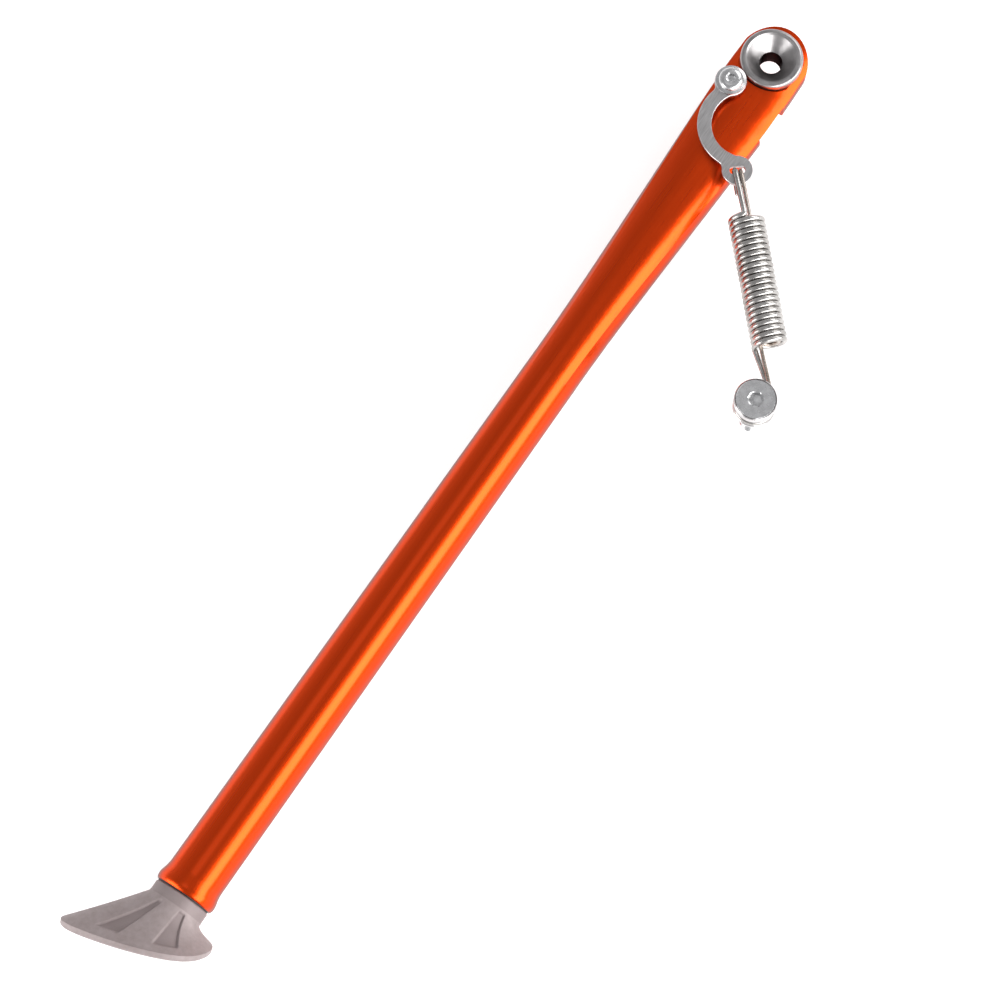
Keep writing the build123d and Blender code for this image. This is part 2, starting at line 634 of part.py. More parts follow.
os.makedirs("parts", exist_ok=True)
for name, part in PARTS.items():
    export_step(part, f"parts/{name}.step")
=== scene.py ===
import json
import math

import bpy
import numpy as np
from mathutils import Matrix, Vector


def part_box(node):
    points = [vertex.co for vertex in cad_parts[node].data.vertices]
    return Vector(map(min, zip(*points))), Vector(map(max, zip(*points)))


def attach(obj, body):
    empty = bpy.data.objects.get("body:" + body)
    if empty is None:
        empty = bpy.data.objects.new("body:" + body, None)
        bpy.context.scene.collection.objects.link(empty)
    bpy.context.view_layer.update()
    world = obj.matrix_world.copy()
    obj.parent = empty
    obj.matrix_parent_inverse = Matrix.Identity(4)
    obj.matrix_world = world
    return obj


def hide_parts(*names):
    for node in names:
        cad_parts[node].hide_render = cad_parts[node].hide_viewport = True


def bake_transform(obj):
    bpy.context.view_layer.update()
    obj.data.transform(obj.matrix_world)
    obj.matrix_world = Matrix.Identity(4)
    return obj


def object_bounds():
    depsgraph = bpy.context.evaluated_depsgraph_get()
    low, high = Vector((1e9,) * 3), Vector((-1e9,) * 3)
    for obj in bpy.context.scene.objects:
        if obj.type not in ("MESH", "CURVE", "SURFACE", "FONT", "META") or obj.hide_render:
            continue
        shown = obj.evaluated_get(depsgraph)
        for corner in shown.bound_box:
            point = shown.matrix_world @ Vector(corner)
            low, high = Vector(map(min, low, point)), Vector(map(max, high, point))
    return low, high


# The looks of an off-road motorcycle's side stand, stowed. Lengths are in metres, in the CAD's frame:
# the pivot axis is Z through the origin, and the leg runs along +X to its foot.

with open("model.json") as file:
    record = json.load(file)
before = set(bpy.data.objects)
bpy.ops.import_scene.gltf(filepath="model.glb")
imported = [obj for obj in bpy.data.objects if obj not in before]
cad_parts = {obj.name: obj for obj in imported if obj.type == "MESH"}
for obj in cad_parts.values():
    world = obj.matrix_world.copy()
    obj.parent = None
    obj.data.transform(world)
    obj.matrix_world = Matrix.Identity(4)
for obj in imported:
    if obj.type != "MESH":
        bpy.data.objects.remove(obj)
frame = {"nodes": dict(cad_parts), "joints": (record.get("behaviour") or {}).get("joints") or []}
cad_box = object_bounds()
nodes = frame["nodes"]
joints = {joint["name"]: joint for joint in frame["joints"]}

MM = 0.001

# ---- camera ----
CAMERA_AZIMUTH = 124.25
CAMERA_ELEVATION = 75.0
CAMERA_DISTANCE = 1.238
CAMERA_TARGET = Vector((0.198, 0.0111, 0.0))
CAMERA_LENS = 122.0

# ---- floor: white paper, lit a little from below, as a light table is ----
FLOOR_GLOW = 0.55
FLOOR_GAP = 0.5 * MM  # below the CAD's lowest point
FLOOR_REACH = 4.0

# the bore's painted shade covers all of the bush inside this radius from its axis
BORE_SHADE_RADIUS = 4.4 * MM  # just outside the bore's own wall

# ---- threads and hexagonal sockets ----
THREAD_DEPTH = 0.61  # share of the pitch
THREAD_LEAD_IN = 0.15  # how much of the thread's depth is left at the tip's very end
THREAD_FLANK = 2.3  # how fast the flank falls from crest to valley
THREAD_CREST = 0.12  # flat of the crest
SOCKET_LEAD = 0.55 * MM  # the countersink's width beyond the flats
SOCKET_LEAD_DEPTH = 0.25 * MM
SOCKET_POINT_DEPTH = 0.4 * MM
SOCKET_POINT_SHARE = 0.2  # radius of the socket's bottom, as a share of the width across its flats

# ---- how finely round shapes are divided ----
WIRE_SIDES = 14
SCREW_SIDES = 72
ARC_POINTS = 40
COIL_POINTS = 40  # for each turn
THREAD_ROWS = 12  # for each pitch
FOOT_COLUMNS = 432
FLARE_ROWS = 56
TREAD_ROWS = 6
DOME_ROWS = 9

# ---- screws ----
M8_RADIUS = 4.0 * MM
M8_PITCH = 1.25 * MM
M8_HEX = 5.0 * MM
M8_LAND = 0.4 * MM  # the head's straight rim, above its cone
M6_RADIUS = 3.0 * MM
M6_PITCH = 1.0 * MM
M6_HEX = 5.0 * MM
M6_SHANK_RADIUS = 2.9 * MM
M6_THREAD_LENGTH = 24 * MM
M6_HEAD_HEIGHT = 5.5 * MM
M5_RADIUS = 2.5 * MM
M5_PITCH = 0.8 * MM
M5_HEX = 3.0 * MM
M5_SHANK_RADIUS = 2.45 * MM
M5_HEAD_RADIUS = 4.7 * MM
M5_HEAD_HEIGHT = 2.9 * MM
M5_FLANGE_HEIGHT = 1.0 * MM

# ---- springs, in their own frame: x along the coils from the link slot's bearing edge ----
SLOT_REACH = 37.186 * MM  # link pivot to the slot's bearing edge
SPRING_PLANE = (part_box("spring_link")[0][2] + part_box("spring_link")[1][2]) / 2
HOOK_OFFSET = 9.4 * MM
GROOVE_RADIUS = 5.85 * MM
GROOVE_PLAY = 0.05 * MM
HOOK_END = math.radians(-118)
SMALL_HOOK_END = math.radians(262)
WIRE_END = 0.82  # share of the wire's radius left at its broken ends
PATH_STEP = 0.3 * MM
PATH_PASSES = 7  # of rounding, which takes the kinks out of the wire's bends

# ---- foot ----
SOLE_CENTRE_X = 399.5 * MM
SOLE_CENTRE = np.array([SOLE_CENTRE_X, 0, 0])
SOLE_TURN = math.radians(19.7)
SOLE_TILT = math.radians(25.0)
SOLE_THICKNESS = 2.6 * MM
SOLE_OUTLINE = [  # mm toward the toe and outboard, from the leg's axis
    (32.3, 11.0),
    (21.5, 18.5),
    (4.0, 21.5),
    (-12.0, 19.0),
    (-20.5, 9.5),
    (-20.0, -4.5),
    (-5.0, -13.0),
    (12.0, -11.0),
    (25.5, -2.0),
]
NECK_RADIUS = 11.0 * MM
NECK_START_X = 381.62 * MM
NECK_END_X = 386.1 * MM
NECK_PROFILE = [  # radius and place along the leg, from the seal to the flare
    (10.5 * MM, NECK_START_X),
    (10.85 * MM, NECK_START_X + 0.35 * MM),
    (10.85 * MM, NECK_END_X - 0.9 * MM),
    (10.95 * MM, NECK_END_X - 0.3 * MM),
]
WAIST_PULL_HEEL = 0.84  # how far halfway down the flare is drawn in toward the leg's axis
WAIST_PULL_TOE = 0.99
# sunk pockets: each has two sides, and a side is its angle round the leg, in degrees from +Y, at the neck and
# at the sole
POCKETS = [
    ((56, 52), (70, 81)),
    ((103, 117), (113, 141)),
    ((192, 202), (230, 236)),
    ((270, 268), (305, 302)),
]
SOLE_REACH = 26.0 * MM  # radius at which the angles at the sole hold
POCKET_TOP = (0.03, 0.09)  # where the pockets begin and end, as shares of the way from neck to sole
POCKET_FOOT = (0.79, 0.85)
POCKET_FLANK = 0.7 * MM
POCKET_DEPTH = 0.85 * MM
WEAR = 0.5  # of the raised panels and the tread's edge
TREAD_ROUND = 1.6 * MM  # radius of the tread's edge
SOLE_SHARES = (0.25, 0.5, 0.75, 0.97, 1.0)  # rings of the sole's face, from its edge to the counterbore
COUNTERBORE_RADIUS = 6.2 * MM
COUNTERBORE_FLOOR_X = 387.05 * MM
FOOT_BORE_RADIUS = 3.05 * MM
SPIGOT_RADIUS = 7.45 * MM
SPIGOT_END_X = 349.0 * MM
SPIGOT_CHAMFER = 0.5 * MM
BULGE_ALLOWANCE = 0.985  # the sole's outline is drawn in this much, so that its spline stays in the CAD's box


# ---------------------------------------------------------------- camera, floor and lights


def view_axes(azimuth, elevation):
    """Right, up and back directions of a camera at these angles in degrees."""
    turn = math.radians(azimuth)
    rise = math.radians(elevation)
    back = Vector((math.sin(turn) * math.cos(rise), -math.cos(turn) * math.cos(rise), math.sin(rise)))
    right = Vector((math.cos(turn), math.sin(turn), 0))
    return right, back.cross(right), back


def add_camera():
    """The camera that frames the whole stand."""
    right, up, back = view_axes(CAMERA_AZIMUTH, CAMERA_ELEVATION)
    data = bpy.data.cameras.new("camera")
    data.lens = CAMERA_LENS
    data.sensor_width = 36.0
    data.clip_end = 20.0
    camera = bpy.data.objects.new("camera", data)
    bpy.context.scene.collection.objects.link(camera)
    place = Matrix((right, up, back)).transposed().to_4x4()
    place.translation = CAMERA_TARGET + back * CAMERA_DISTANCE
    camera.matrix_world = place
    bpy.context.scene.camera = camera


def add_area_light(name, target, direction, distance, size, power):
    """A white soft box that faces target from direction; its first side lies nearest to X."""
    data = bpy.data.lights.new(name, "AREA")
    data.shape = "RECTANGLE"
    data.size, data.size_y = size
    data.energy = power
    light = bpy.data.objects.new(name, data)
    bpy.context.scene.collection.objects.link(light)
    back = Vector(direction).normalized()
    side = Vector((1, 0, 0))
    up = back.cross(side).normalized()
    side = up.cross(back)
    place = Matrix((side, up, back)).transposed().to_4x4()
    place.translation = Vector(target) + back * distance
    light.matrix_world = place


def add_floor():
    """A white floor just below the lowest piece."""
    low = cad_box[0][2] - FLOOR_GAP
    corners = [(x * FLOOR_REACH, y * FLOOR_REACH, low) for x, y in ((-1, -1), (1, -1), (1, 1), (-1, 1))]
    mesh = bpy.data.meshes.new("floor")
    mesh.from_pydata(corners, [], [(0, 1, 2, 3)])
    floor = bpy.data.objects.new("floor", mesh)
    bpy.context.scene.collection.objects.link(floor)
    material, _, shader = new_material("floor_paper", (0.7, 0.7, 0.7), 0.0, 0.9)
    shader.inputs["Emission Color"].default_value = (1, 1, 1, 1)
    shader.inputs["Emission Strength"].default_value = FLOOR_GLOW
    floor.data.materials.append(material)


def add_world():
    """A pale studio, a little darker overhead."""
    world = bpy.data.worlds.new("studio")
    bpy.context.scene.world = world
    world.use_nodes = True
    tree = world.node_tree
    background = tree.nodes["Background"]
    coordinates = tree.nodes.new("ShaderNodeTexCoord")
    split = tree.nodes.new("ShaderNodeSeparateXYZ")
    ramp = tree.nodes.new("ShaderNodeValToRGB")
    tree.links.new(coordinates.outputs["Generated"], split.inputs[0])
    tree.links.new(split.outputs["Z"], ramp.inputs[0])
    tree.links.new(ramp.outputs[0], background.inputs["Color"])
    ramp.color_ramp.elements[0].position = 0.0
    ramp.color_ramp.elements[0].color = (0.7, 0.7, 0.71, 1)
    ramp.color_ramp.elements[1].position = 0.8
    ramp.color_ramp.elements[1].color = (0.42, 0.42, 0.43, 1)
    background.inputs["Strength"].default_value = 1.0


# ---------------------------------------------------------------- materials


def new_material(name, colour, metallic, roughness):
    """A material with its node tree and its shader."""
    material = bpy.data.materials.new(name)
    material.use_nodes = True
    tree = material.node_tree
    shader = tree.nodes["Principled BSDF"]
    shader.inputs["Base Color"].default_value = (*colour, 1)
    shader.inputs["Metallic"].default_value = metallic
    shader.inputs["Roughness"].default_value = roughness
    return material, tree, shader


def mapped_noise(tree, stretch, scale, detail):
    """Noise over the object's own coordinates, stretched by a factor on each axis."""
    coordinates = tree.nodes.new("ShaderNodeTexCoord")
    mapping = tree.nodes.new("ShaderNodeMapping")
    mapping.inputs["Scale"].default_value = stretch
    noise = tree.nodes.new("ShaderNodeTexNoise")
    noise.inputs["Scale"].default_value = scale
    noise.inputs["Detail"].default_value = detail
    tree.links.new(coordinates.outputs["Object"], mapping.inputs["Vector"])
    tree.links.new(mapping.outputs["Vector"], noise.inputs["Vector"])
    return noise


def ramp_between(tree, source, low, high, positions=(0.3, 0.7)):
    """Colours from low to high as the source goes from the first position to the second."""
    ramp = tree.nodes.new("ShaderNodeValToRGB")
    ramp.color_ramp.elements[0].position = positions[0]
    ramp.color_ramp.elements[0].color = (*low, 1)
    ramp.color_ramp.elements[1].position = positions[1]
    ramp.color_ramp.elements[1].color = (*high, 1)
    tree.links.new(source, ramp.inputs[0])
    return ramp


def vary_roughness(tree, shader, source, low, high):
    """Roughness from low to high as the source goes from 0 to 1."""
    remap = tree.nodes.new("ShaderNodeMapRange")
    remap.inputs["To Min"].default_value = low
    remap.inputs["To Max"].default_value = high
    tree.links.new(source, remap.inputs["Value"])
    tree.links.new(remap.outputs["Result"], shader.inputs["Roughness"])


def add_bump(tree, shader, source, strength, distance):
    """A bump from the source; distance is its height in metres."""
    bump = tree.nodes.new("ShaderNodeBump")
    bump.inputs["Strength"].default_value = strength
    bump.inputs["Distance"].default_value = distance
    tree.links.new(source, bump.inputs["Height"])
    tree.links.new(bump.outputs["Normal"], shader.inputs["Normal"])


def anodised_orange():
    """Satin anodising over drawn and machined aluminium, with faint lengthwise streaks."""
    material, tree, shader = new_material("anodised_orange", (0.72, 0.053, 0.0025), 1.0, 0.28)
    streaks = mapped_noise(tree, (3, 160, 160), 6.0, 5.0)
    colour = ramp_between(tree, streaks.outputs["Fac"], (0.7, 0.05, 0.002), (0.735, 0.056, 0.003))
    tree.links.new(colour.outputs[0], shader.inputs["Base Color"])
    vary_roughness(tree, shader, streaks.outputs["Fac"], 0.26, 0.3)
    grain = mapped_noise(tree, (60, 1400, 1400), 2.0, 2.0)
    add_bump(tree, shader, grain.outputs["Fac"], 0.008, 0.00003)
    shader.inputs["Specular Tint"].default_value = (0.2, 0.75, 0.8, 1)
    shader.inputs["Coat Weight"].default_value = 0.16
    shader.inputs["Coat Roughness"].default_value = 0.12
    return material


def turned_steel(name, centre, colour, roughness=(0.16, 0.32)):
    """Lathe-turned steel: fine rings about the piece's own axis, and a little staining."""
    material, tree, shader = new_material(name, colour, 1.0, roughness[0])
    coordinates = tree.nodes.new("ShaderNodeTexCoord")
    mapping = tree.nodes.new("ShaderNodeMapping")
    mapping.inputs["Location"].default_value = (-centre[0], -centre[1], 0)
    rings = tree.nodes.new("ShaderNodeTexWave")
    rings.wave_type = "RINGS"
    rings.rings_direction = "Z"
    rings.inputs["Scale"].default_value = 900.0
    rings.inputs["Distortion"].default_value = 0.6
    rings.inputs["Detail"].default_value = 2.0
    tree.links.new(coordinates.outputs["Object"], mapping.inputs["Vector"])
    tree.links.new(mapping.outputs["Vector"], rings.inputs["Vector"])
    stain = mapped_noise(tree, (1, 1, 1), 260.0, 5.0)
    dark = tuple(c * 0.8 for c in colour)
    tint = ramp_between(tree, stain.outputs["Fac"], dark, colour, (0.35, 0.6))
    tree.links.new(tint.outputs[0], shader.inputs["Base Color"])
    vary_roughness(tree, shader, stain.outputs["Fac"], *roughness)
    add_bump(tree, shader, rings.outputs["Fac"], 0.12, 0.00003)
    return material


def bush_steel():
    """Turned steel, with painted shade in the bore: its wall is coloured near black and its reflections are
    dulled.
    """
    material = turned_steel("bush_steel", (0, 0), (0.4, 0.385, 0.385), (0.24, 0.4))
    tree = material.node_tree
    shader = tree.nodes["Principled BSDF"]
    base = shader.inputs["Base Color"]
    polished = base.links[0].from_socket
    coordinates = tree.nodes.new("ShaderNodeTexCoord")
    across = tree.nodes.new("ShaderNodeVectorMath")
    across.operation = "MULTIPLY"
    across.inputs[1].default_value = (1, 1, 0)
    radius = tree.nodes.new("ShaderNodeVectorMath")
    radius.operation = "LENGTH"
    # painted shade: this mask picks out the bore
    bore_shade_mask = tree.nodes.new("ShaderNodeMath")
    bore_shade_mask.operation = "LESS_THAN"
    bore_shade_mask.inputs[1].default_value = BORE_SHADE_RADIUS
    mix = tree.nodes.new("ShaderNodeMix")
    mix.data_type = "RGBA"
    # painted shade: the bore's near-black colour
    mix.inputs["B"].default_value = (0.07, 0.05, 0.05, 1)
    tree.links.new(coordinates.outputs["Object"], across.inputs[0])
    tree.links.new(across.outputs["Vector"], radius.inputs[0])
    tree.links.new(radius.outputs["Value"], bore_shade_mask.inputs[0])
    tree.links.new(bore_shade_mask.outputs[0], mix.inputs["Factor"])
    tree.links.new(polished, mix.inputs["A"])
    tree.links.new(mix.outputs["Result"], base)
    # painted shade: the bore's reflections are dulled
    edge = tree.nodes.new("ShaderNodeMapRange")
    edge.inputs["To Min"].default_value = 1.0
    edge.inputs["To Max"].default_value = 0.1
    tree.links.new(bore_shade_mask.outputs[0], edge.inputs["Value"])
    tree.links.new(edge.outputs["Result"], shader.inputs["Specular Tint"])
    return material


def plated_steel(name, colour):
    """Bright zinc plate with a slightly cloudy surface."""
    material, tree, shader = new_material(name, colour, 1.0, 0.25)
    cloud = mapped_noise(tree, (1, 1, 1), 420.0, 6.0)
    dark = tuple(c * 0.82 for c in colour)
    tint = ramp_between(tree, cloud.outputs["Fac"], dark, colour, (0.3, 0.65))
    tree.links.new(tint.outputs[0], shader.inputs["Base Color"])
    vary_roughness(tree, shader, cloud.outputs["Fac"], 0.18, 0.36)
    add_bump(tree, shader, cloud.outputs["Fac"], 0.1, 0.00004)
    return material


def rolled_plate():
    """Laser-cut stainless plate, tumbled, with the rolling grain still faintly there."""
    material, tree, shader = new_material("rolled_plate", (0.5, 0.49, 0.49), 1.0, 0.35)
    grain = mapped_noise(tree, (120, 1500, 200), 1.6, 6.0)
    tint = ramp_between(tree, grain.outputs["Fac"], (0.38, 0.37, 0.37), (0.58, 0.57, 0.57))
    tree.links.new(tint.outputs[0], shader.inputs["Base Color"])
    vary_roughness(tree, shader, grain.outputs["Fac"], 0.26, 0.44)
    add_bump(tree, shader, grain.outputs["Fac"], 0.15, 0.00004)
    return material


def spring_wire(name, pale, tinted):
    """Drawn spring wire with uneven heat tint."""
    material, tree, shader = new_material(name, pale, 1.0, 0.25)
    tint_noise = mapped_noise(tree, (1, 1, 1), 130.0, 5.0)
    tint = ramp_between(tree, tint_noise.outputs["Fac"], tinted, pale, (0.35, 0.62))
    tree.links.new(tint.outputs[0], shader.inputs["Base Color"])
    scuffs = mapped_noise(tree, (1, 1, 1), 1500.0, 3.0)
    vary_roughness(tree, shader, scuffs.outputs["Fac"], 0.16, 0.36)
    add_bump(tree, shader, scuffs.outputs["Fac"], 0.1, 0.00003)
    return material


def cast_steel():
    """Bead-blasted investment casting: matt, grainy, paler where it has been rubbed."""
    material, tree, shader = new_material("cast_steel", (0.24, 0.2, 0.195), 0.25, 0.6)
    patches = mapped_noise(tree, (1, 1, 1), 90.0, 6.0)
    body = ramp_between(tree, patches.outputs["Fac"], (0.2, 0.158, 0.155), (0.25, 0.205, 0.202))
    rubbed = tree.nodes.new("ShaderNodeAttribute")
    rubbed.attribute_name = "rubbed"
    scuff = mapped_noise(tree, (1, 1, 1), 500.0, 5.0)
    worn = tree.nodes.new("ShaderNodeMath")
    worn.operation = "MULTIPLY"
    tree.links.new(rubbed.outputs["Fac"], worn.inputs[0])
    tree.links.new(scuff.outputs["Fac"], worn.inputs[1])
    mix = tree.nodes.new("ShaderNodeMix")
    mix.data_type = "RGBA"
    tree.links.new(worn.outputs[0], mix.inputs["Factor"])
    tree.links.new(body.outputs[0], mix.inputs["A"])
    mix.inputs["B"].default_value = (0.43, 0.37, 0.362, 1)
    tree.links.new(mix.outputs["Result"], shader.inputs["Base Color"])
    grain = mapped_noise(tree, (1, 1, 1), 2600.0, 3.0)
    vary_roughness(tree, shader, grain.outputs["Fac"], 0.5, 0.72)
    add_bump(tree, shader, grain.outputs["Fac"], 0.25, 0.00012)
    return material


def black_rubber():
    """Matt black rubber."""
    material, tree, shader = new_material("black_rubber", (0.02, 0.02, 0.02), 0.0, 0.6)
    skin = mapped_noise(tree, (1, 1, 1), 1200.0, 4.0)
    tint = ramp_between(tree, skin.outputs["Fac"], (0.012, 0.012, 0.012), (0.035, 0.034, 0.033))
    tree.links.new(tint.outputs[0], shader.inputs["Base Color"])
    vary_roughness(tree, shader, skin.outputs["Fac"], 0.5, 0.7)
    add_bump(tree, shader, skin.outputs["Fac"], 0.2, 0.00005)
    return material


# ---------------------------------------------------------------- mesh helpers


def make_object(name, points, faces, material, sharp):
    """A smooth-shaded piece whose edges over sharp degrees stay crisp."""
    mesh = bpy.data.meshes.new(name)
    mesh.from_pydata([tuple(p) for p in points], [], faces)
    mesh.validate()
    mesh.update()
    mesh.shade_smooth()
    mesh.set_sharp_from_angle(angle=math.radians(sharp))
    mesh.materials.append(material)
    piece = bpy.data.objects.new(name, mesh)
    bpy.context.scene.collection.objects.link(piece)
    return piece


def skin_of_rings(rings, looped=False):
    """Points and faces of a tube through equal rings; its ends are joined, or each has a fan."""
    count = len(rings[0])
    points = [p for ring in rings for p in ring]
    faces = []
    for row in range(len(rings) if looped else len(rings) - 1):
        next_row = (row + 1) % len(rings)
        for column in range(count):
            following = (column + 1) % count
            faces.append((row * count + column, row * count + following,
                          next_row * count + following, next_row * count + column))
    if not looped:
        for row, order in ((0, -1), (len(rings) - 1, 1)):
            centre = len(points)
            points.append(np.mean(np.array(rings[row]), axis=0))
            for column in range(count):
                pair = (row * count + column, row * count + (column + 1) % count)
                faces.append((centre, *pair[::order]))
    return points, faces


def even_path(points, step):
    """The polyline's points again, evenly spaced."""
    points = np.array(points, float)
    lengths = np.linalg.norm(np.diff(points, axis=0), axis=1)
    station = np.concatenate([[0], np.cumsum(lengths)])
    wanted = np.linspace(0, station[-1], max(2, int(station[-1] / step) + 1))
    return np.stack([np.interp(wanted, station, points[:, k]) for k in range(3)], axis=1)


def relaxed_path(points, passes):
    """The path with its kinks rounded; the ends stay."""
    points = points.copy()
    for _ in range(passes):
        points[1:-1] = points[1:-1] * 0.5 + (points[:-2] + points[2:]) * 0.25
    return points


def wire_tube(path, radius):
    """A round wire with softly broken ends."""
    tangents = np.gradient(path, axis=0)
    tangents /= np.linalg.norm(tangents, axis=1)[:, None]
    normal = np.cross(tangents[0], [0.0, 0.0, 1.0])
    rings = []
    turns = np.linspace(0, 2 * math.pi, WIRE_SIDES, endpoint=False)
    last = len(path) - 1
    for index, (point, tangent) in enumerate(zip(path, tangents)):
        normal = normal - tangent * (normal @ tangent)
        normal /= np.linalg.norm(normal)
        side = np.cross(tangent, normal)
        size = radius * (WIRE_END if index in (0, last) else 1.0)
        rings.append([point + size * (math.cos(t) * normal + math.sin(t) * side) for t in turns])
    return skin_of_rings(rings)


def lathe(profile, centre, along):
    """Turn a list of (radius, height) about an axis; a radius may be a function of the angle."""
    turns = np.linspace(0, 2 * math.pi, SCREW_SIDES, endpoint=False)
    rings = []
    for radius, height in profile:
        ring = []
        for turn in turns:
            size = radius(turn) if callable(radius) else radius
            a = size * math.cos(turn)
            b = size * math.sin(turn)
            if along == "Z":
                ring.append((centre[0] + a, centre[1] + b, height))
            else:
                ring.append((height, centre[0] + a, centre[1] + b))
        rings.append(ring)
    return skin_of_rings(rings)


def hexagon(across_flats):
    """Radius of a hexagon at an angle."""
    def radius(turn):
        sector = math.radians(60)
        return across_flats / 2 / math.cos((turn % sector) - sector / 2)
    return radius


def thread_profile(radius, pitch, tip, top):
    """Rings of a V thread from its chamfered tip to its run-out at the top."""
    depth = pitch * THREAD_DEPTH
    count = int((top - tip) / pitch * THREAD_ROWS)
    rings = []
    for row in range(count + 1):
        height = tip + (top - tip) * row / count
        chamfer = min(1.0, (height - tip) / pitch + THREAD_LEAD_IN)
        runout = min(1.0, max(0.0, (top - height) / pitch))

        def ring(turn, height=height, chamfer=chamfer, runout=runout):
            phase = (height / pitch - turn / (2 * math.pi)) % 1.0
            valley = min(1.0, max(0.0, abs(phase - 0.5) * THREAD_FLANK - THREAD_CREST))
            crest = radius - depth * (1 - chamfer)
            return min(radius - depth * valley * runout, crest)

        rings.append((ring, height))
    return rings


# ---------------------------------------------------------------- springs


def tangent_angle(start, centre, radius):
    """Angle round the circle where a line from start touches its left side."""
    reach = np.array(centre) - np.array(start)
    heading = math.atan2(reach[1], reach[0])
    return heading + math.pi - math.acos(radius / np.linalg.norm(reach))


def arc_points(centre, radius, begin, end):
    """Points of an arc between two angles."""
    return [(centre[0] + radius * math.cos(a), centre[1] + radius * math.sin(a))
            for a in np.linspace(begin, end, ARC_POINTS)]


def spring_frame():
    """Matrix of the springs' own frame, and how far along it the post lies."""
    pivot = Vector(joints["link_swing"]["pos_m"])
    low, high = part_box("spring_post")
    post = Vector(((low[0] + high[0]) / 2, (low[1] + high[1]) / 2, 0))
    line = (post - pivot).to_2d()
    edge = pivot + line.normalized().to_3d() * SLOT_REACH
    length = (post - edge).to_2d().length
    lean = math.asin(HOOK_OFFSET / length)
    turn = math.atan2(line.y, line.x) + lean
    place = Matrix.Rotation(turn, 4, "Z")
    place.translation = Vector((edge.x, edge.y, SPRING_PLANE))
    return place, length * math.cos(lean)


def spring_path(wire, coil_radius, coil, turns, near_lane, bend, tail, far_lane, axial):
    """Wire centreline: small hook, coils, large hook."""
    start_turn = math.atan2(math.sqrt(coil_radius ** 2 - near_lane ** 2), near_lane)
    end_turn = math.atan2(far_lane, -math.sqrt(coil_radius ** 2 - far_lane ** 2)) % (2 * math.pi)
    first = coil[0] + wire / 2
    last = coil[1] - wire / 2
    # small hook, in the upright plane through the slot
    lead_start = (first, coil_radius * math.sin(start_turn))
    bend_centre, bend_radius = bend
    reach = np.array(bend_centre) - np.array(lead_start)
    heading = math.atan2(reach[1], reach[0])
    touch = (heading + math.pi + math.acos(bend_radius / np.linalg.norm(reach))) % (2 * math.pi)
    hook = arc_points(bend_centre, bend_radius, touch, SMALL_HOOK_END)
    heading_out = SMALL_HOOK_END + math.pi / 2
    end = hook[-1]
    tip = (end[0] + tail * math.cos(heading_out), end[1] + tail * math.sin(heading_out))
    small = [tip] + hook[::-1] + [lead_start]
    points = [(x, near_lane, z) for x, z in small]
    # coils
    total = 2 * math.pi * turns + (end_turn - start_turn)
    for share in np.linspace(0, 1, int(turns * COIL_POINTS)):
        angle = start_turn + total * share
        along = first + (last - first) * share
        points.append((along, coil_radius * math.cos(angle), coil_radius * math.sin(angle)))
    # large hook, level with the post's groove
    centre = (axial, -HOOK_OFFSET)
    radius = GROOVE_RADIUS + GROOVE_PLAY + wire / 2
    leave = (last, coil_radius * math.cos(end_turn))
    begin = tangent_angle(leave, centre, radius)
    large = arc_points(centre, radius, begin % (2 * math.pi), HOOK_END)
    points += [(x, y, far_lane) for x, y in large]
    return relaxed_path(even_path(points, PATH_STEP), PATH_PASSES)


def add_spring(name, node, slot, material, wire, **shape):
    """A spring of round wire whose hooks sit at the link's slot and round the post's groove."""
    place, axial = spring_frame()
    path = spring_path(wire, axial=axial, **shape)
    points, faces = wire_tube(path, wire / 2)
    piece = make_object(name, [place @ Vector(p) for p in points], faces, material, sharp=60)
    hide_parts(node)
    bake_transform(piece)


def add_springs():
    """The two nested return springs."""
    add_spring(
        "outer_spring_wire", "outer_spring", "spring_steel",
        spring_wire("outer_spring_wire", (0.5, 0.485, 0.47), (0.33, 0.315, 0.3)),
        wire=2.2 * MM, coil_radius=5.9 * MM, coil=(16.5 * MM, 68.7 * MM), turns=22,
        near_lane=-0.85 * MM, bend=((0.45 * MM, 0.0), 2.15 * MM), tail=7.0 * MM, far_lane=-1.05 * MM,
    )
    add_spring(
        "inner_spring_wire", "inner_spring", "inner_spring_steel",
        spring_wire("inner_spring_wire", (0.5, 0.45, 0.41), (0.34, 0.28, 0.235)),
        wire=1.5 * MM, coil_radius=3.7 * MM, coil=(17.5 * MM, 67.9 * MM), turns=28,
        near_lane=1.2 * MM, bend=((1.85 * MM, -0.6 * MM), 3.2 * MM), tail=2.6 * MM, far_lane=0.95 * MM,
    )


# ---------------------------------------------------------------- screws


def centre_of(node):
    """The middle of a node's box."""
    low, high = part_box(node)
    return [(a + b) / 2 for a, b in zip(low, high)]


def add_screw(name, node, body, profile, material, centre, along="Z"):
    """A turned screw in place of its plain CAD node."""
    points, faces = lathe(profile, centre, along)
    piece = make_object(name, points, faces, material, sharp=20)
    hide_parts(node)
    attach(piece, body)


def socket_rings(across_flats, lip, top, depth):
    """From the head's face down a hexagonal socket with a small countersink."""
    socket = hexagon(across_flats)
    return [
        (lip, top),
        (across_flats * 0.5 + SOCKET_LEAD, top),
        (socket, top - SOCKET_LEAD_DEPTH),
        (socket, top - depth),
        (across_flats * SOCKET_POINT_SHARE, top - depth - SOCKET_POINT_DEPTH),
    ]


def add_post_screw(material):
    """M8 countersunk screw, threaded up to the cone of its head."""
    low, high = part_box("spring_post_screw")
    top = high[2]
    head = (high[0] - low[0]) / 2
    bevel = 0.1 * MM
    socket_depth = 3.2 * MM
    cone_foot = top - M8_LAND - (head - M8_RADIUS)
    profile = thread_profile(M8_RADIUS, M8_PITCH, low[2], cone_foot)
    profile += [(head, top - M8_LAND), (head, top - bevel)]
    profile += socket_rings(M8_HEX, head - bevel, top, socket_depth)
    add_screw("spring_post_screw_threaded", "spring_post_screw", "frame_side", profile, material,
              centre_of("spring_post_screw")[:2])


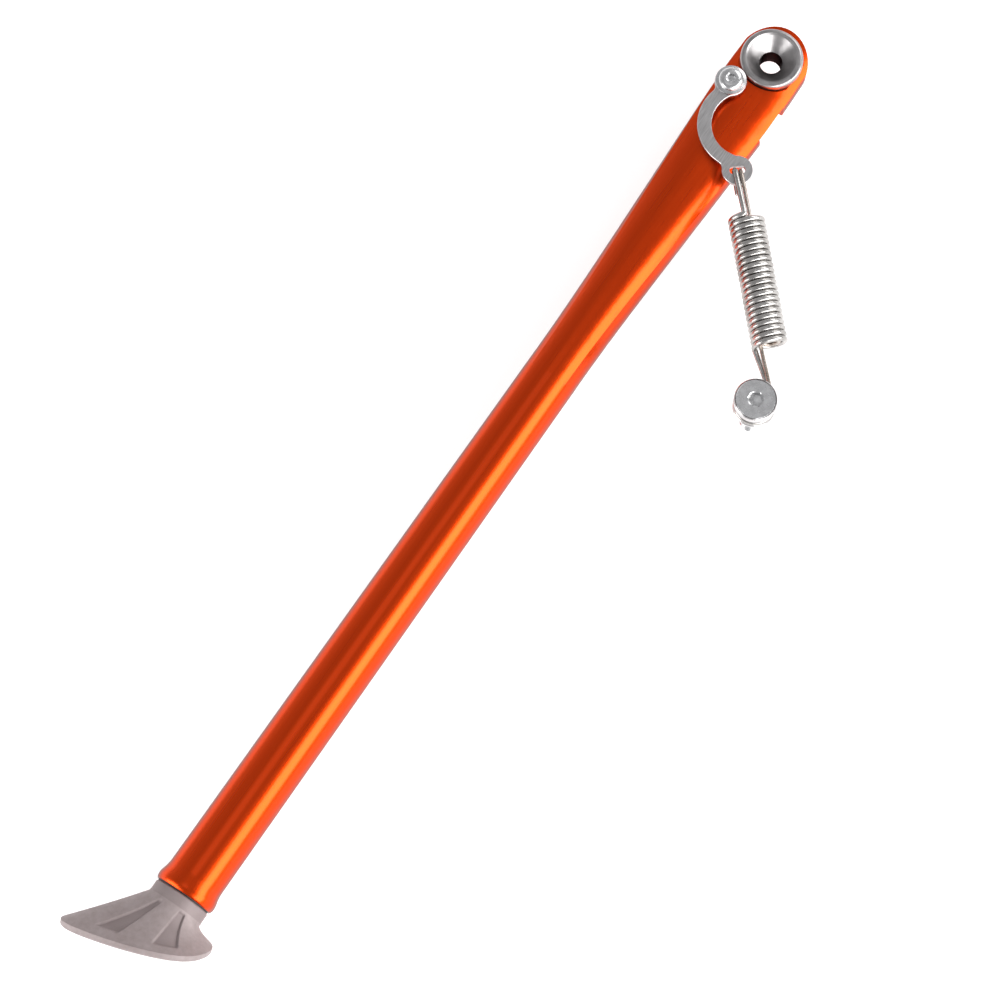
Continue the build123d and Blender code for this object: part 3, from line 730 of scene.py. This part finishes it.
def add_link_screw(material):
    """M5 button-head screw with a thin flange."""
    low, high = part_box("link_screw")
    crown = high[2]
    seat = crown - M5_HEAD_HEIGHT
    shoulder = seat + M5_FLANGE_HEIGHT
    flange = (high[0] - low[0]) / 2
    bevel = 0.25 * MM
    socket_depth = 2.0 * MM
    profile = thread_profile(M5_RADIUS, M5_PITCH, low[2], seat - 0.4 * MM)
    profile += [
        (M5_SHANK_RADIUS, seat),
        (flange - bevel, seat),
        (flange, seat + bevel),
        (flange - 0.1 * MM, seat + 0.5 * MM),
        (M5_HEAD_RADIUS, shoulder),
    ]
    rise = crown - seat - M5_FLANGE_HEIGHT
    for step in range(1, DOME_ROWS):
        swing = math.radians(90) * step / DOME_ROWS
        radius = M5_HEAD_RADIUS * (0.5 + 0.5 * math.cos(swing))
        profile.append((radius, shoulder + rise * math.sin(swing)))
    profile += socket_rings(M5_HEX, M5_HEAD_RADIUS * 0.5, crown, socket_depth)
    add_screw("link_screw_threaded", "link_screw", "leg", profile, material, centre_of("link_screw")[:2])


def add_foot_screw(material):
    """M6 cap screw along the leg's axis."""
    low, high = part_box("foot_screw")
    face = high[0]
    seat = face - M6_HEAD_HEIGHT
    thread_end = low[0] + M6_THREAD_LENGTH
    head = (high[1] - low[1]) / 2
    bevel = 0.4 * MM
    socket_depth = 3.0 * MM
    profile = thread_profile(M6_RADIUS, M6_PITCH, low[0], thread_end)
    profile += [
        (M6_SHANK_RADIUS, thread_end + 0.1 * MM),
        (M6_SHANK_RADIUS, seat),
        (head - 0.15 * MM, seat),
        (head, seat + 0.2 * MM),
        (head, face - bevel),
        (head - bevel, face),
    ]
    profile += socket_rings(M6_HEX, head - 0.5 * MM, face, socket_depth)
    add_screw("foot_screw_threaded", "foot_screw", "leg", profile, material, (0, 0), along="X")


# ---------------------------------------------------------------- foot


def sole_axes():
    """Unit vectors toward the toe, toward the outboard edge and down out of the sole."""
    toe = np.array([math.sin(SOLE_TURN), -math.cos(SOLE_TURN), 0])
    level = np.array([math.cos(SOLE_TURN), math.sin(SOLE_TURN), 0])
    up = np.array([0.0, 0.0, 1.0])
    outboard = level * math.sin(SOLE_TILT) + up * math.cos(SOLE_TILT)
    down = level * math.cos(SOLE_TILT) - up * math.sin(SOLE_TILT)
    return toe, outboard, down


def closed_spline(corners, count):
    """Points of a smooth closed curve through the corners, by periodic cubic interpolation."""
    corners = np.array(corners, float)
    size = len(corners)
    system = np.zeros((size, size))
    for row in range(size):
        system[row, row] = 4.0
        system[row, (row + 1) % size] += 1.0
        system[row, (row - 1) % size] += 1.0
    slopes = np.linalg.solve(system, 3.0 * (np.roll(corners, -1, 0) - np.roll(corners, 1, 0)))
    curve = []
    for place in np.linspace(0, size, count, endpoint=False):
        index = int(place)
        share = place - index
        following = (index + 1) % size
        a, b = corners[index], corners[following]
        da, db = slopes[index], slopes[following]
        rise = b - a
        bend = share ** 2 * (3 * rise - 2 * da - db)
        curve.append(a + share * da + bend + share ** 3 * (da + db - 2 * rise))
    return np.array(curve)


def smoothstep(low, high, value):
    """0 below low, 1 above high, and an easy curve between."""
    share = np.clip((value - low) / (high - low), 0, 1)
    return share * share * (3 - 2 * share)


def turned_ring(radius, x, turns):
    """A circle round the leg's axis."""
    return np.stack([np.full(len(turns), x), radius * np.cos(turns), radius * np.sin(turns)], 1)


def side_angle(side, share):
    """Angle round the leg of a pocket's side, at each share of the way from neck to sole."""
    at_neck, at_sole = np.radians(side)
    across = NECK_RADIUS * math.cos(at_neck) * (1 - share) + SOLE_REACH * math.cos(at_sole) * share
    height = NECK_RADIUS * math.sin(at_neck) * (1 - share) + SOLE_REACH * math.sin(at_sole) * share
    return np.arctan2(height, across)


def turned_from(low, high):
    """The signed angle from low to high, the short way round."""
    return (high - low + math.pi) % (2 * math.pi) - math.pi


def pocket_mask(rings, share):
    """1 on the floors of the pockets and 0 on the raised panels between them."""
    angles = np.arctan2(rings[:, :, 2], rings[:, :, 1])
    radii = np.hypot(rings[:, :, 2], rings[:, :, 1])
    mask = np.zeros(angles.shape)
    for first, second in POCKETS:
        past_first = turned_from(side_angle(first, share), angles) * radii
        before_second = turned_from(angles, side_angle(second, share)) * radii
        mask = np.maximum(mask, smoothstep(0, POCKET_FLANK, np.minimum(past_first, before_second)))
    return mask * smoothstep(*POCKET_TOP, share) * (1 - smoothstep(*POCKET_FOOT, share))


def flare_curves():
    """The closed curves at the neck, halfway down and at the sole that the flare passes through."""
    toe, outboard, down = sole_axes()
    toe_end = max(along for along, across in SOLE_OUTLINE)
    heel_end = min(along for along, across in SOLE_OUTLINE)
    neck, waist, sole = [], [], []
    for along, across in SOLE_OUTLINE:
        spread = toe * along + outboard * across
        corner = SOLE_CENTRE + spread * (BULGE_ALLOWANCE * MM) - down * SOLE_THICKNESS
        angle = math.atan2(corner[2], corner[1])
        collar = np.array([NECK_END_X, NECK_RADIUS * math.cos(angle), NECK_RADIUS * math.sin(angle)])
        middle = (collar + corner) / 2
        toward_toe = (along - heel_end) / (toe_end - heel_end)
        pull = WAIST_PULL_HEEL + (WAIST_PULL_TOE - WAIST_PULL_HEEL) * toward_toe
        neck.append(collar)
        waist.append(np.array([middle[0], middle[1] * pull, middle[2] * pull]))
        sole.append(corner)
    neck, waist, sole = (closed_spline(points, FOOT_COLUMNS) for points in (neck, waist, sole))
    turns = np.arctan2(neck[:, 2], neck[:, 1])
    neck[:, 1] = NECK_RADIUS * np.cos(turns)
    neck[:, 2] = NECK_RADIUS * np.sin(turns)
    return neck, waist, sole, turns


def outward_normals(rings):
    """Unit normals of a closed skin of rings, pointing away from the leg's axis."""
    along = np.gradient(rings, axis=0)
    around = np.roll(rings, -1, 1) - np.roll(rings, 1, 1)
    normals = np.cross(around, along)
    normals /= np.linalg.norm(normals, axis=2)[:, :, None]
    outward = np.sum(normals[:, :, 1:] * rings[:, :, 1:], axis=2).mean()
    return -normals if outward < 0 else normals


def flare_rings(neck, waist, sole):
    """Rings of the flare with its pockets sunk, and how far each point is into a pocket."""
    rings = []
    rows = np.linspace(0, 1, FLARE_ROWS)
    for u in rows:
        rings.append(neck * 2 * (u - 0.5) * (u - 1) + waist * 4 * u * (1 - u) + sole * 2 * u * (u - 0.5))
    rings = np.array(rings)
    pocket = pocket_mask(rings, rows[:, None])
    return rings - outward_normals(rings) * (pocket * POCKET_DEPTH)[:, :, None], pocket


def tread_rings(sole):
    """Rings of the tread's rim, from the flare round to the sole's face."""
    down = sole_axes()[2]
    inward = SOLE_CENTRE - down * SOLE_THICKNESS - sole
    inward /= np.linalg.norm(inward, axis=1)[:, None]
    rings = []
    for step in range(1, TREAD_ROWS + 1):
        swing = math.radians(90) * step / TREAD_ROWS
        drop = SOLE_THICKNESS - TREAD_ROUND + TREAD_ROUND * math.sin(swing)
        shrink = TREAD_ROUND * (1 - math.cos(swing))
        rings.append(sole + down * drop + inward * shrink)
    return rings


def sole_rings(edge, turns):
    """Rings of the sole's flat face, from its edge to the counterbore's mouth."""
    down = sole_axes()[2]
    mouth = turned_ring(COUNTERBORE_RADIUS, 0, turns)
    mouth[:, 0] = SOLE_CENTRE_X - (mouth[:, 1] * down[1] + mouth[:, 2] * down[2]) / down[0]
    return [edge * (1 - share) + mouth * share for share in SOLE_SHARES]


def add_foot(material):
    """Cast foot: spigot, neck, flare with sunk pockets, tread and a counterbored sole."""
    neck, waist, sole, turns = flare_curves()
    flare, pocket = flare_rings(neck, waist, sole)
    tread = tread_rings(sole)
    spigot = [
        turned_ring(SPIGOT_RADIUS - SPIGOT_CHAMFER, SPIGOT_END_X, turns),
        turned_ring(SPIGOT_RADIUS, SPIGOT_END_X + SPIGOT_CHAMFER, turns),
        turned_ring(SPIGOT_RADIUS, NECK_START_X, turns),
    ]
    top = spigot + [turned_ring(radius, x, turns) for radius, x in NECK_PROFILE]
    shaft = [
        turned_ring(COUNTERBORE_RADIUS, COUNTERBORE_FLOOR_X, turns),
        turned_ring(FOOT_BORE_RADIUS, COUNTERBORE_FLOOR_X, turns),
        turned_ring(FOOT_BORE_RADIUS, SPIGOT_END_X, turns),
    ]
    everything = top + list(flare) + tread + sole_rings(tread[-1], turns) + shaft
    points, faces = skin_of_rings(everything, looped=True)
    piece = make_object("foot_casting", points, faces, material, sharp=42)
    rubbed = np.zeros(len(points))
    flare_start = len(top) * FOOT_COLUMNS
    tread_start = flare_start + pocket.size
    rubbed[flare_start:tread_start] = WEAR * (1 - pocket).ravel()
    rubbed[tread_start:tread_start + len(tread) * FOOT_COLUMNS] = WEAR
    wear = piece.data.attributes.new("rubbed", "FLOAT", "POINT")
    wear.data.foreach_set("value", rubbed)
    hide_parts("foot")
    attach(piece, "leg")


# ---------------------------------------------------------------- the model


def finish_node(name, material):
    """Give a CAD node its finish."""
    mesh = nodes[name].data
    mesh.materials.clear()
    mesh.materials.append(material)


add_camera()
add_world()
add_floor()
add_area_light(
    "key_softbox", target=(0.2, 0, 0), direction=(0, 0.88, 0.48),
    distance=0.9, size=(1.7, 0.5), power=16,
)
add_area_light(
    "cone_softbox", target=(0, 0, 0), direction=(0.915, -0.364, 0.22),
    distance=0.7, size=(0.3, 0.35), power=1.5,
)
add_area_light(
    "overhead_panel", target=(0.1, 0, 0), direction=(0, -0.1, 0.995),
    distance=1.9, size=(1.0, 0.75), power=1.0,
)
add_area_light(
    "head_softbox", target=(0.0, 0, 0), direction=(-0.9, 0.1, 0.7),
    distance=0.8, size=(0.5, 0.4), power=2,
)

finish_node("leg", anodised_orange())
finish_node("pivot_bush", bush_steel())
finish_node("spring_post", turned_steel("post_steel", centre_of("spring_post"), (0.6, 0.575, 0.575)))
bright_plate = plated_steel("bright_plate", (0.64, 0.64, 0.645))
finish_node("link_collar", bright_plate)
finish_node("foot_washer", bright_plate)
finish_node("spring_link", rolled_plate())
rubber = black_rubber()
finish_node("pivot_seal", rubber)
finish_node("foot_seal", rubber)

add_springs()
add_post_screw(bright_plate)
add_link_screw(bright_plate)
add_foot_screw(bright_plate)
add_foot(cast_steel())

bpy.context.scene.view_settings.view_transform = "Standard"
